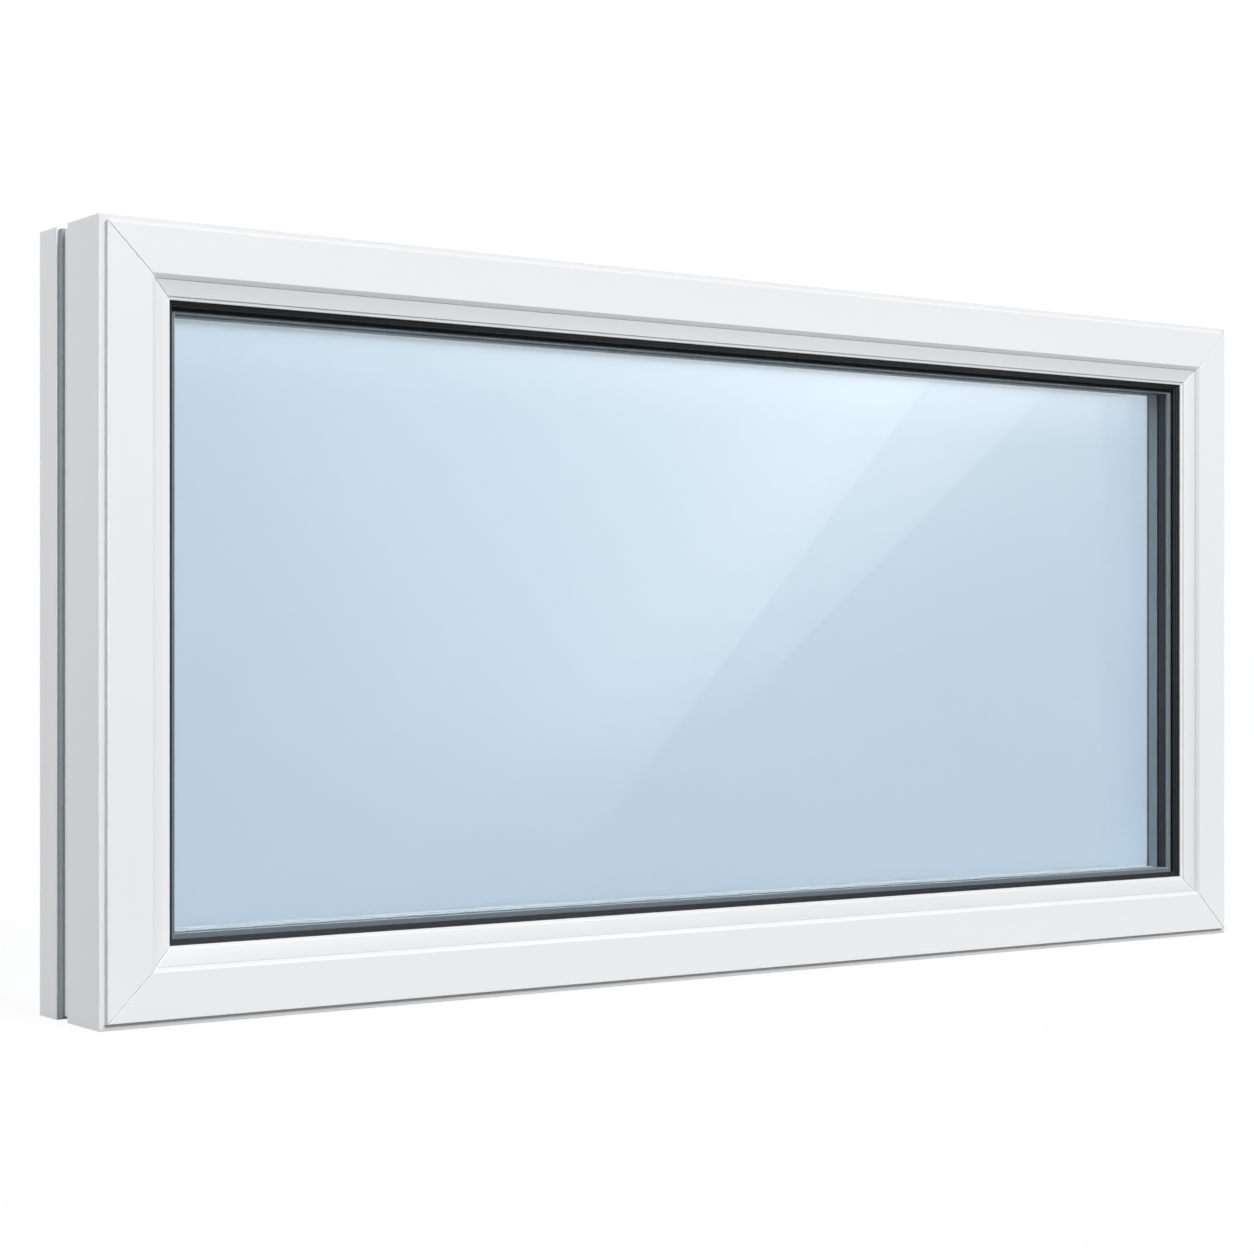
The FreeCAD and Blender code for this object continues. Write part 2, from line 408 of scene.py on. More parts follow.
@dataclass
class Paint:
    """A material with one Principled BSDF and the shared effects placed on it."""

    name: str
    effects: SurfaceEffects
    material: bpy.types.Material = field(init=False)
    board: Board = field(init=False)
    surface: bpy.types.Node = field(init=False)
    run_lines: bpy.types.Node = field(init=False)
    skin: bpy.types.Node = field(init=False)

    def __post_init__(self) -> None:
        """Place the shader, the run's directions and the drawn skin."""
        self.material = bpy.data.materials.new(self.name)
        self.material.use_nodes = True
        self.material.node_tree.nodes.clear()
        board = self.board = Board(self.material.node_tree)
        place = board.add("ShaderNodeTexCoord")
        self.run_lines = board.add("ShaderNodeGroup", node_tree=self.effects.run_lines)
        board.join(place.outputs["Object"], self.run_lines.inputs["Vector"])
        self.skin = board.add("ShaderNodeGroup", node_tree=self.effects.skin)
        board.join(self.run_lines.outputs["Run"], self.skin.inputs["Vector"])
        self.surface = board.add("ShaderNodeBsdfPrincipled")
        leave = board.add("ShaderNodeOutputMaterial")
        board.join(self.surface.outputs["BSDF"], leave.inputs["Surface"])

    def strip(self, distance: str, start: float, end: float, softness: float = 0.0002) -> Socket:
        """Mask of a strip along the sides.

        Args:
            distance: Back, Inwards or Off Joint, the direction that is measured.
            start: distance where the strip starts.
            end: distance where it ends.
            softness: width of its soft edges.

        Returns:
            The mask.
        """
        node = self.board.add("ShaderNodeGroup", node_tree=self.effects.strip)
        node.inputs["Start"].default_value = start
        node.inputs["End"].default_value = end
        node.inputs["Softness"].default_value = softness
        self.board.join(self.run_lines.outputs[distance], node.inputs["Distance"])
        return node.outputs["Mask"]

    def joint(self, width: float) -> Socket:
        """Mask of the corner joints: 1 on the joint, 0 from the given distance on."""
        off = self.board.ramp(self.run_lines.outputs["Off Joint"], 0.0, width)
        return self.board.math("SUBTRACT", 1.0, off)

    def color(self, value: Socket) -> None:
        """Feed the base colour."""
        self.board.join(value, self.surface.inputs["Base Color"])

    def rough(self, source: str, middle: float, spread: float) -> None:
        """Vary the roughness with one of the skin's outputs.

        Args:
            source: Lines, Peel or Patch.
            middle: roughness at the noise's middle.
            spread: change of roughness over the noise's whole range.
        """
        value = self.board.math("MULTIPLY_ADD", self.skin.outputs[source], spread, middle - spread / 2.0)
        self.board.join(value, self.surface.inputs["Roughness"])

    def bump(self, height: Socket, strength: float) -> None:
        """Feed a bump as deep as the skin of the extruded plastic.

        Args:
            height: the height, about 0 to 1.
            strength: the bump's strength.
        """
        bump = self.board.add("ShaderNodeBump", strength=strength, distance=SKIN_DEPTH)
        self.board.join(height, bump.inputs["Height"])
        self.board.join(bump.outputs["Normal"], self.surface.inputs["Normal"])


@dataclass(frozen=True)
class WhiteProfileFinish:
    """Satin white extruded plastic with fine die lines and a soft orange-peel.

    The lip round the outside is painted darker than the face as painted shade, the white is painted darker
    towards the bottom of the hollow between frame and bead as painted shade, and a corner joint is a dark
    line with a painted highlight strip on both sides.
    """

    name: str = "white_profile"
    color: Triple = (0.850, 0.858, 0.873)
    shade: Triple = (0.835, 0.843, 0.859)
    # hollow: painted shade, darker towards the bottom of the hollow between frame and bead
    hollow: Triple = (0.765, 0.775, 0.792)
    hollow_back: float = 0.0100
    hollow_fade: float = 0.0030
    # lip: painted shade, the set-back lip round the outside painted darker than the face
    lip: Triple = (0.780, 0.788, 0.803)
    lip_width: float = 0.0050
    lip_back: float = 0.0053
    lip_blur: float = 0.0003
    joint: Triple = (0.34, 0.35, 0.37)
    joint_width: float = 0.0005
    # strip: painted highlight, a lighter strip on both sides of each corner joint
    strip: Triple = (0.965, 0.970, 0.975)
    joint_highlight_end: float = 0.0015
    joint_highlight_share: float = 0.8
    roughness: float = 0.36
    roughness_spread: float = 0.10
    peel_share: float = 0.7
    bump_strength: float = 0.06

    def make(self, effects: SurfaceEffects, hollow_shade_from: float, hollow_shade_to: float) -> bpy.types.Material:
        """Build the material.

        Args:
            effects: the shared shader groups.
            hollow_shade_from: how far inwards a hollow is deepest, where the painted shade is darkest.
            hollow_shade_to: how far inwards the painted shade has run out.

        Returns:
            The material.
        """
        paint = Paint(self.name, effects)
        board, skin = paint.board, paint.skin
        inwards, back = paint.run_lines.outputs["Inwards"], paint.run_lines.outputs["Back"]
        tone = board.blend(skin.outputs["Patch"], self.shade, self.color)
        # painted shade on the set-back lip round the outside
        past_lip = board.ramp(inwards, self.lip_width - self.lip_blur, self.lip_width + self.lip_blur)
        in_front = board.ramp(back, self.lip_back + self.lip_blur, self.lip_back - self.lip_blur)
        lip_shade_mask = board.math("MULTIPLY", board.math("SUBTRACT", 1.0, past_lip), in_front)
        tone = board.blend(lip_shade_mask, tone, self.lip)
        # painted shade: the white is darkened towards the bottom of the hollow between frame and bead
        in_front = board.ramp(back, self.hollow_back + self.hollow_fade, self.hollow_back)
        deep = board.ramp(inwards, hollow_shade_to, hollow_shade_from, smooth=False)
        tone = board.blend(board.math("MULTIPLY", deep, in_front), tone, self.hollow)
        # painted highlight: lighter strips beside the corner joint, where the groove's flank would catch the
        # light
        strip = board.math("MULTIPLY", paint.strip("Off Joint", self.joint_width, self.joint_highlight_end), past_lip)
        tone = board.blend(board.math("MULTIPLY", strip, self.joint_highlight_share), tone, self.strip)
        joint = board.math("MULTIPLY", paint.joint(self.joint_width), past_lip)
        paint.color(board.blend(joint, tone, self.joint))
        paint.rough("Lines", self.roughness, self.roughness_spread)
        lines = board.math("MULTIPLY", skin.outputs["Lines"], 1.0 - self.peel_share)
        height = board.math("MULTIPLY_ADD", skin.outputs["Peel"], self.peel_share, lines)
        paint.bump(height, self.bump_strength)
        return paint.material


@dataclass(frozen=True)
class RubberFinish:
    """Matt rubber or plastic with a fine grain and a slight bloom."""

    name: str
    color: Triple
    bloom: Triple
    roughness: float = 0.55
    gloss: float = 0.5
    roughness_spread: float = 0.2
    grain: float = 900.0
    bump_strength: float = 0.12

    def make(self, effects: SurfaceEffects) -> bpy.types.Material:
        """Build the material.

        Args:
            effects: the shared shader groups.

        Returns:
            The material.
        """
        paint = Paint(self.name, effects)
        paint.skin.inputs["Peel Scale"].default_value = self.grain
        paint.color(paint.board.blend(paint.skin.outputs["Patch"], self.color, self.bloom))
        paint.rough("Peel", self.roughness, self.roughness_spread)
        paint.bump(paint.skin.outputs["Peel"], self.bump_strength)
        paint.surface.inputs["Specular IOR Level"].default_value = self.gloss
        return paint.material


@dataclass(frozen=True)
class GlassFinish:
    """Float glass, clear or with a pale blue coat that softens the view and ends in a lighter line."""

    name: str
    color: Triple
    roughness: float = 0.0
    ior: float = 1.5
    border: Triple = (0.97, 0.98, 0.99)
    border_width: float = 0.0
    border_blur: float = 0.0003
    shade_share: float = 0.985

    def make(self, effects: SurfaceEffects, sight_line: float = 0.0) -> bpy.types.Material:
        """Build the material.

        Args:
            effects: the shared shader groups.
            sight_line: how far inwards the spacer bars reach.

        Returns:
            The material.
        """
        paint = Paint(self.name, effects)
        shade = tuple(channel * self.shade_share for channel in self.color)
        coat = paint.board.blend(paint.skin.outputs["Patch"], shade, self.color)
        bare = paint.strip("Inwards", 0.0, sight_line + self.border_width, self.border_blur)
        paint.color(paint.board.blend(bare, coat, self.border))
        paint.surface.inputs["Transmission Weight"].default_value = 1.0
        paint.surface.inputs["Roughness"].default_value = self.roughness
        paint.surface.inputs["IOR"].default_value = self.ior
        return paint.material


@dataclass(frozen=True)
class SpacerFinish:
    """Satin spacer bar: darker rear part as painted shade, black sealant line where that starts."""

    name: str
    color: Triple
    rear_shade_color: Triple
    rear_share: float
    sealant: Triple = (0.012, 0.013, 0.015)
    sealant_width: float = 0.0020
    roughness: float = 0.45
    gloss: float = 0.15
    roughness_spread: float = 0.12
    line_share: float = 0.12
    bump_strength: float = 0.1

    def make(self, effects: SurfaceEffects, lines: Lines) -> bpy.types.Material:
        """Build the material.

        Args:
            effects: the shared shader groups.
            lines: limits of the bar.

        Returns:
            The material.
        """
        paint = Paint(self.name, effects)
        board = paint.board
        turn = lines.rear - self.rear_share * (lines.rear - lines.front)
        # painted shade: the bar's rear part is darker, where its inner face lies in shade
        dark = paint.strip("Back", turn, lines.rear + self.sealant_width)
        tone = board.blend(dark, self.color, self.rear_shade_color)
        lines = board.math("MULTIPLY", paint.skin.outputs["Lines"], self.line_share)
        drawn = board.blend(lines, tone, self.sealant)
        bead = paint.strip("Back", turn, turn + self.sealant_width)
        paint.color(board.blend(bead, drawn, self.sealant))
        paint.rough("Lines", self.roughness, self.roughness_spread)
        paint.bump(paint.skin.outputs["Lines"], self.bump_strength)
        paint.surface.inputs["Specular IOR Level"].default_value = self.gloss
        return paint.material


@dataclass
class MitredRun:
    """A profile carried along one side of the window and cut at 45 degrees at both ends."""

    sizes: WindowSizes
    side: Side
    stations: int = 2

    def carry(self, name: str, profile: np.ndarray) -> bpy.types.Object:
        """Carry a closed profile along the side.

        A profile point lies a inwards and b back. Its share t of the way along the side is at a + t (L - 2a),
        where L is the side's length, so that all points of an end lie on the corner's diagonal. Quads join
        neighbouring points and stations, and one face closes each end.

        Args:
            name: the piece's name.
            profile: points as rows of inwards and back, in metres.

        Returns:
            The piece, in its place.
        """
        sizes, side = self.sizes, self.side
        length = sizes.width if side.lies_flat else sizes.height
        share = np.linspace(0.0, 1.0, self.stations)[:, None]
        inwards = np.broadcast_to(profile[:, 0], (self.stations, len(profile)))
        back = np.broadcast_to(profile[:, 1] - sizes.half_depth, inwards.shape)
        along = inwards + share * (length - 2.0 * inwards)
        if side.lies_flat:
            across = along - sizes.half_width
            upright = inwards if side is Side.SILL else sizes.height - inwards
        else:
            across = inwards - sizes.half_width if side is Side.LEFT else sizes.half_width - inwards
            upright = along
        points = np.stack([across, back, upright], axis=-1).reshape(-1, 3)
        index = np.arange(inwards.size).reshape(inwards.shape)
        after = np.roll(index, -1, axis=1)
        quads = np.stack([index[:-1], after[:-1], after[1:], index[1:]], axis=-1).reshape(-1, 4)
        mesh = bpy.data.meshes.new(name)
        mesh.from_pydata(points.tolist(), [], quads.tolist() + [index[0].tolist(), index[-1].tolist()])
        shell = bmesh.new()
        shell.from_mesh(mesh)
        bmesh.ops.recalc_face_normals(shell, faces=shell.faces)
        shell.to_mesh(mesh)
        shell.free()
        mesh.shade_smooth()
        mesh.set_sharp_from_angle(angle=SHARP_ANGLE)
        piece = bpy.data.objects.new(name, mesh)
        bpy.context.scene.collection.objects.link(piece)
        return piece


def ribbed_line(start: Pair, end: Pair, ribs: int, height: float) -> np.ndarray:
    """A line with rounded ribs: at share t it stands out to its right by height times |sin(ribs pi t)|.

    Args:
        start: first point, inwards and back.
        end: last point.
        ribs: number of ribs.
        height: how far a rib stands out.

    Returns:
        The points of the line as rows.
    """
    first, last = np.array(start), np.array(end)
    way = last - first
    normal = np.array([way[1], -way[0]]) / np.hypot(*way)
    share = np.linspace(0.0, 1.0, ribs * RIB_STEPS + 1)[:, None]
    return first + share * way + height * np.abs(np.sin(ribs * math.pi * share)) * normal


@dataclass(frozen=True)
class GasketForm:
    """Measures of a gasket's profile in metres: width of its slope, toe, base and both sides of its stem."""

    slope: float
    toe: float
    base: float
    stem_from: float
    stem_to: float
    ribs: int


@dataclass
class SealSet:
    """The rubber strips with their ribs: front gaskets, rear gaskets and the seals in the groove."""

    sizes: WindowSizes
    rubber: bpy.types.Material
    groove_rubber: bpy.types.Material
    rib_height: float = 0.0005
    front: GasketForm = GasketForm(0.0050, 0.0009, 0.0025, 0.0010, 0.0026, 3)
    front_stem_gap: float = 0.0006
    front_shoulder: float = 0.0042
    rear: GasketForm = GasketForm(0.0029, 0.0009, 0.0040, 0.0010, 0.0036, 2)
    groove_ribs: int = 3

    def front_profile(self) -> np.ndarray:
        """Foot and ribbed slope of a front gasket, from the limits of its solid.

        Returns:
            The points as rows of inwards and back.
        """
        line, form = self.sizes.lines("gasket_front_sill"), self.front
        start, end = (line.inner - form.slope, line.front), (line.inner, line.rear - form.toe)
        slope = ribbed_line(start, end, form.ribs, self.rib_height)
        base, tip = line.rear - form.base, line.front + self.front_stem_gap
        foot = np.array([
            (line.inner, line.rear),
            (line.outer, line.rear),
            (line.outer, base),
            (line.outer + form.stem_from, base),
            (line.outer + form.stem_from, tip),
            (line.outer + form.stem_to, tip),
            (line.outer + form.stem_to, base),
            (line.outer + self.front_shoulder, base),
            (line.outer + self.front_shoulder, line.front),
        ])
        return np.concatenate([slope, foot])

    def rear_profile(self) -> np.ndarray:
        """Foot and ribbed slope of a rear gasket, from the limits of its solid.

        Returns:
            The points as rows of inwards and back.
        """
        line, form = self.sizes.lines("gasket_rear_sill"), self.rear
        base = line.front + form.base
        start, end = (line.inner, line.front + form.toe), (line.inner - form.slope, base)
        slope = ribbed_line(start, end, form.ribs, self.rib_height)
        foot = np.array([
            (line.outer + form.stem_to, base),
            (line.outer + form.stem_to, line.rear),
            (line.outer + form.stem_from, line.rear),
            (line.outer + form.stem_from, base),
            (line.outer, base),
            (line.outer, line.front),
            (line.inner, line.front),
        ])
        return np.concatenate([slope, foot])

    def groove_profile(self) -> np.ndarray:
        """A flat strip with ridges on its outer face, whose crests keep to the limits of its solid.

        Returns:
            The points as rows of inwards and back.
        """
        line = self.sizes.lines("groove_seal_sill")
        valley = line.outer + self.rib_height
        face = ribbed_line((valley, line.front), (valley, line.rear), self.groove_ribs, -self.rib_height)
        return np.concatenate([face, np.array([(line.inner, line.rear), (line.inner, line.front)])])

    def build(self) -> None:
        """Make the twelve strips and let each stand for its solid."""
        kinds = (
            ("gasket_front", self.front_profile(), self.rubber, "black_gasket"),
            ("gasket_rear", self.rear_profile(), self.rubber, "black_gasket"),
            ("groove_seal", self.groove_profile(), self.groove_rubber, "groove_seal"),
        )
        for kind, profile, material, finish in kinds:
            for side in Side:
                node = f"{kind}_{side.value}"
                piece = MitredRun(self.sizes, side).carry(f"ribbed_{node}", profile)
                piece.data.materials.append(material)
                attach(piece, "root")
                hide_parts(node)
                LOG.info("built %s", piece.name)


@dataclass
class WindowDressing:
    """Gives every solid of the window its finish."""

    nodes: dict[str, bpy.types.Object]

    def dress(self, material: bpy.types.Material, *prefixes: str) -> None:
        """Give one finish to all solids whose names start alike.

        Args:
            material: the finish.
            prefixes: starts of the names.
        """
        for name, node in self.nodes.items():
            if name.startswith(prefixes):
                node.data.materials.clear()
                node.data.materials.append(material)
                LOG.info("dressed %s with %s", name, material.name)

    def let_light_through(self, *names: str) -> None:
        """Let the lamps' light pass clear panes, as it passes real glass."""
        for name in names:
            self.nodes[name].visible_shadow = False


def stage_plane(name: str, low: Pair, high: Pair, upright: bool) -> bpy.types.Object:
    """A flat grid: u and v run evenly between two corners, and the third coordinate is nothing.

    Args:
        name: the object's name.
        low: lowest u and v.
        high: highest u and v.
        upright: whether v runs up instead of back.

    Returns:
        The object with an empty material, marked as stage.
    """
    across, onward = (np.linspace(low[axis], high[axis], GRID_POINTS) for axis in (0, 1))
    u, v = np.meshgrid(across, onward, indexing="ij")
    flat = np.zeros_like(u)
    points = np.stack([u, flat, v] if upright else [u, v, flat], axis=-1).reshape(-1, 3)
    index = np.arange(u.size).reshape(u.shape)
    corners = [index[:-1, :-1], index[1:, :-1], index[1:, 1:], index[:-1, 1:]]
    faces = np.stack(corners, axis=-1).reshape(-1, 4)
    mesh = bpy.data.meshes.new(name)
    mesh.from_pydata(points.tolist(), [], faces.tolist())
    plane = bpy.data.objects.new(name, mesh)
    bpy.context.scene.collection.objects.link(plane)
    material = bpy.data.materials.new(name)
    material.use_nodes = True
    material.node_tree.nodes.clear()
    mesh.materials.append(material)
    return plane


def looked_at(board: Board) -> Socket:
    """Share of rays that look at the ground straight, in a mirror or through glass.

    Args:
        board: the node tree.

    Returns:
        A socket that is 1 for those rays.
    """
    path = board.add("ShaderNodeLightPath")
    first = board.math("MAXIMUM", path.outputs["Is Camera Ray"], path.outputs["Is Glossy Ray"])
    return board.math("MAXIMUM", first, path.outputs["Is Transmission Ray"])


@dataclass(frozen=True)
class SlantedBand:
    """A band of light left of the edge x = slope z + start, which comes in from one height to another."""

    slope: float
    start: float
    level: float
    low: float
    full: float


@dataclass(frozen=True)
class Highlight:
    """Slanting light on the mirror card: one broad soft part and bands with clear right-hand edges."""

    peak: float = 1.22
    ridge_slope: float = 1.13
    ridge_start: float = -0.43
    left_slope: float = -0.47
    left_start: float = -0.42
    right_width: float = 0.29
    foot: float = 0.05
    top: float = 0.55
    rise: float = 1.8
    band_blur: float = 0.0025
    bands: tuple[SlantedBand, ...] = (
        SlantedBand(0.92, -0.264, 0.29, 0.08, 0.25),
        SlantedBand(1.255, -0.291, 0.26, 0.15, 0.33),
    )

    def strength(self, board: Board, x: Socket, z: Socket) -> Socket:
        """Place the light's nodes.

        The broad part is strongest along the ridge x = ridge_slope z + ridge_start. It falls evenly to
        nothing on a line at the left, to the right as 1 / (1 + (distance / right_width)^2), and downwards
        with a power of the height. Each band keeps its level left of its own slanting edge and shares the
        fall to the left.

        Args:
            board: the card's node tree.
            x: place across the glass.
            z: place up the glass.

        Returns:
            The light's strength.
        """
        ridge = board.math("MULTIPLY_ADD", z, self.ridge_slope, self.ridge_start)
        edge = board.math("MULTIPLY_ADD", z, self.left_slope, self.left_start)
        left = board.ramp(x, edge, ridge, smooth=False)
        beyond = board.math("MAXIMUM", board.math("SUBTRACT", x, ridge), 0.0)
        off = board.math("DIVIDE", beyond, self.right_width)
        right = board.math("DIVIDE", 1.0, board.math("MULTIPLY_ADD", off, off, 1.0))
        high = board.math("POWER", board.ramp(z, self.foot, self.top, smooth=False), self.rise)
        total = board.math("MULTIPLY", board.math("MULTIPLY", high, right), self.peak)
        for band in self.bands:
            limit = board.math("MULTIPLY_ADD", z, band.slope, band.start)
            side = board.ramp(board.math("SUBTRACT", x, limit), self.band_blur, -self.band_blur)
            share = board.math("MULTIPLY", side, board.ramp(z, band.low, band.full))
            total = board.math("MULTIPLY_ADD", share, band.level, total)
        return board.math("MULTIPLY", total, left)


@dataclass(frozen=True)
class MirrorCard:
    """A lit card in front of the window that only mirrored rays see.

    It is the glass as the mirror image of the photo's eye throws it onto a plane in front of the window, so
    its own coordinates are places on the glass. It is a little lighter to the right and along the top. Its
    light ends where the spacers' inner edge is seen from the eye, past that it is dark, and far out it turns
    white like the world behind it.
    """

    sizes: WindowSizes
    eye: Triple
    glass_plane: float
    highlight: Highlight = Highlight()
    low: Pair = (-1.0, -0.4)
    high: Pair = (1.0, 1.0)
    distance: float = 0.30
    level: float = 0.10
    edge_depth: float = 0.0286
    top_blur: float = 0.0012
    low_blur: float = 0.003
    end_blur: Pair = (0.0016, -0.0014)
    right_gain: float = 0.34
    right_reach: float = 0.5
    top_gain: float = 0.42
    top_rise: Pair = (0.170, 0.235)
    fade_across: Pair = (0.95, 0.65)
    fade_up: Pair = (0.65, 0.32)

    def build(self) -> None:
        """Make the card, put it in its place and light it."""
        card = stage_plane("mirror_card", self.low, self.high, True)
        eye = Vector(self.eye)
        mirrored = 2.0 * self.glass_plane - eye.y
        plane = self.glass_plane - self.distance
        scale = (mirrored - plane) / (mirrored - self.glass_plane)
        card.scale = (scale, 1.0, scale)
        card.location = (eye.x * (1.0 - scale), plane, eye.z * (1.0 - scale))
        card.visible_camera = False
        card.visible_diffuse = False
        card.visible_shadow = False
        board = Board(card.data.materials[0].node_tree)
        glow = board.add("ShaderNodeEmission", color=WHITE)
        board.join(self._strength(board), glow.inputs["Strength"])
        clear = board.add("ShaderNodeBsdfTransparent")
        mix = board.add("ShaderNodeMixShader")
        path = board.add("ShaderNodeLightPath")
        board.join(board.math("GREATER_THAN", path.outputs["Glossy Depth"], 0.5), mix.inputs[0])
        board.join(clear.outputs[0], mix.inputs[1])
        board.join(glow.outputs[0], mix.inputs[2])
        leave = board.add("ShaderNodeOutputMaterial")
        board.join(mix.outputs[0], leave.inputs["Surface"])

    def _strength(self, board: Board) -> Socket:
        """Place the nodes of the card's light.

        Args:
            board: the card's node tree.

        Returns:
            The light's strength.
        """
        place = board.add("ShaderNodeTexCoord")
        split = board.add("ShaderNodeSeparateXYZ")
        board.join(place.outputs["Object"], split.inputs[0])
        x, z = split.outputs["X"], split.outputs["Z"]
        half, sight = self.sizes.height / 2.0, self.sizes.sight_line
        top, low = (self._thrown(edge, self.eye[2]) for edge in (self.sizes.height - sight, sight))
        end = self._thrown(self.sizes.half_width - sight, self.eye[0])
        below_top = board.ramp(z, top, top - self.top_blur)
        upright = board.math("MULTIPLY", below_top, board.ramp(z, low, low + self.low_blur))
        lit = board.math("MULTIPLY", upright, board.ramp(x, end + self.end_blur[0], end + self.end_blur[1]))
        to_right = board.ramp(x, -self.right_reach, self.right_reach, smooth=False)
        slope = board.math("MULTIPLY", to_right, self.right_gain)
        shown = board.math("ADD", slope, self.highlight.strength(board, x, z))
        to_top = board.ramp(z, half + self.top_rise[0], half + self.top_rise[1])
        shown = board.math("MULTIPLY_ADD", to_top, self.top_gain, shown)
        strength = board.math("MULTIPLY_ADD", shown, lit, self.level)
        across = board.ramp(board.math("ABSOLUTE", x), *self.fade_across)
        off_middle = board.math("ABSOLUTE", board.math("SUBTRACT", z, half))
        inside = board.math("MULTIPLY", across, board.ramp(off_middle, *self.fade_up))
        return board.math("MULTIPLY_ADD", inside, board.math("SUBTRACT", strength, 1.0), 1.0)

    def _thrown(self, edge: float, eye: float) -> float:
        """Where an edge deep in the glass unit is seen on the front of the glass.

        The line from the eye to the edge crosses the front of the glass at (edge + q eye) / (1 + q), where q
        is the edge's depth behind the front, less the shift of the panes, over the eye's distance from it.

        Args:
            edge: place of the edge across or up the window.
            eye: place of the eye in the same direction.

        Returns:
            The place on the front of the glass.
        """
        share = self.edge_depth / (self.glass_plane - self.eye[1])
        return (edge + share * eye) / (1.0 + share)


class Reach(Enum):
    """Which solids a lamp lights: all, one only, or all but one."""

    ALL = "all"
    ONLY = "only"
    ALL_BUT = "all_but"


@dataclass(frozen=True)
class SoftLamp:
    """A square soft lamp that looks at the middle of the window."""

    name: str
    place: Triple
    size: float
    power: float
    unseen_by: tuple[str, ...] = ()
    reach: Reach = Reach.ALL
    solid: str = ""
    target: Triple = (0.0, 0.0, 0.3)

    def build(self) -> None:
        """Make the lamp, hide it from some kinds of rays and limit the solids that it lights."""
        data = bpy.data.lights.new(self.name, "AREA")
        data.size = self.size
        data.energy = self.power
        lamp = bpy.data.objects.new(self.name, data)
        lamp.location = self.place
        lamp.rotation_mode = "QUATERNION"
        lamp.rotation_quaternion = (Vector(self.target) - Vector(self.place)).to_track_quat("-Z", "Y")
        bpy.context.scene.collection.objects.link(lamp)
        for ray in self.unseen_by:
            setattr(lamp, f"visible_{ray}", False)
        if self.reach is not Reach.ALL:
            group = bpy.data.collections.new(f"{self.name}_solids")
            group.objects.link(frame["nodes"][self.solid])
            if self.reach is Reach.ALL_BUT:
                group.collection_objects[0].light_linking.link_state = "EXCLUDE"
            lamp.light_linking.receiver_collection = group
        LOG.info("lit %s", self.name)


@dataclass
class Stage:
    """Pale floor, a white world, a card that the glass mirrors and soft lamps.

    The key lamp leaves out the inner pane, and the reveal lamp and the edge lamp light one jamb each.
    """

    sizes: WindowSizes
    eye: Triple
    glass_plane: float
    sky: float = 0.27
    floor_tone: float = 0.30
    floor_glow: float = 0.92
    floor_reach: float = 14.0
    floor_drop: float = 0.0006
    shadow_fade: Pair = (3.0, 1.2)
    lamps: tuple[SoftLamp, ...] = (
        SoftLamp("key_lamp", (1.15, -10.1, 6.9), 4.0, 1300.0, (), Reach.ALL_BUT, "pane_inner"),
        SoftLamp("fill_lamp", (-3.4, 2.1, 0.8), 1.4, 58.0),
        SoftLamp("room_lamp", (-0.35, 1.6, 0.55), 0.5, 7.0, DULL_LAMP),
        SoftLamp("side_lamp", (3.4, 1.7, 0.8), 1.4, 45.0, DULL_LAMP),
        SoftLamp("reveal_lamp", (-1.2, 0.35, 0.3), 0.5, 11.0, DULL_LAMP, Reach.ONLY, "frame_jamb_right"),
        SoftLamp("edge_lamp", (-3.37, -1.63, 0.3), 1.6, 300.0, GLOSS_LAMP, Reach.ONLY, "frame_jamb_left"),
    )

    def build(self) -> None:
        """Make the floor, the world, the card and the lamps."""
        self._floor()
        self._world()
        MirrorCard(self.sizes, self.eye, self.glass_plane).build()
        for lamp in self.lamps:
            lamp.build()

    def _floor(self) -> None:
        """A wide pale plane just under the sill: white far out to the eye, with a soft shadow near by."""
        reach = self.floor_reach
        floor = stage_plane("pale_floor", (-reach, -reach), (reach, reach), False)
        floor.location.z = -self.floor_drop
        board = Board(floor.data.materials[0].node_tree)
        place = board.add("ShaderNodeTexCoord")
        away = board.add("ShaderNodeVectorMath", operation="LENGTH")
        board.join(place.outputs["Object"], away.inputs[0])
        near = board.ramp(away.outputs["Value"], *self.shadow_fade)
        plain = board.add("ShaderNodeBsdfDiffuse", color=(self.floor_tone,) * 3 + (1.0,))
        shaded = board.add("ShaderNodeBsdfDiffuse")
        tone = 1.0 - self.floor_glow
        board.join(board.blend(near, (0.0, 0.0, 0.0), (tone, tone, tone)), shaded.inputs["Color"])
        glow = board.add("ShaderNodeEmission", color=WHITE)
        board.join(board.math("MULTIPLY_ADD", near, -tone, 1.0), glow.inputs["Strength"])
        both = board.add("ShaderNodeAddShader")
        board.join(shaded.outputs[0], both.inputs[0])
        board.join(glow.outputs[0], both.inputs[1])
        mix = board.add("ShaderNodeMixShader")
        board.join(looked_at(board), mix.inputs[0])
        board.join(plain.outputs[0], mix.inputs[1])
        board.join(both.outputs[0], mix.inputs[2])
        leave = board.add("ShaderNodeOutputMaterial")
        board.join(mix.outputs[0], leave.inputs["Surface"])

    def _world(self) -> None:
        """White to the eye, a plain level of light to the surfaces."""
        world = bpy.data.worlds.new("studio")
        bpy.context.scene.world = world
        world.use_nodes = True
        world.node_tree.nodes.clear()
        board = Board(world.node_tree)
        strength = board.math("MULTIPLY_ADD", looked_at(board), 1.0 - self.sky, self.sky)
        light = board.add("ShaderNodeBackground", color=WHITE)
        board.join(strength, light.inputs["Strength"])
        leave = board.add("ShaderNodeOutputWorld")
        board.join(light.outputs[0], leave.inputs["Surface"])


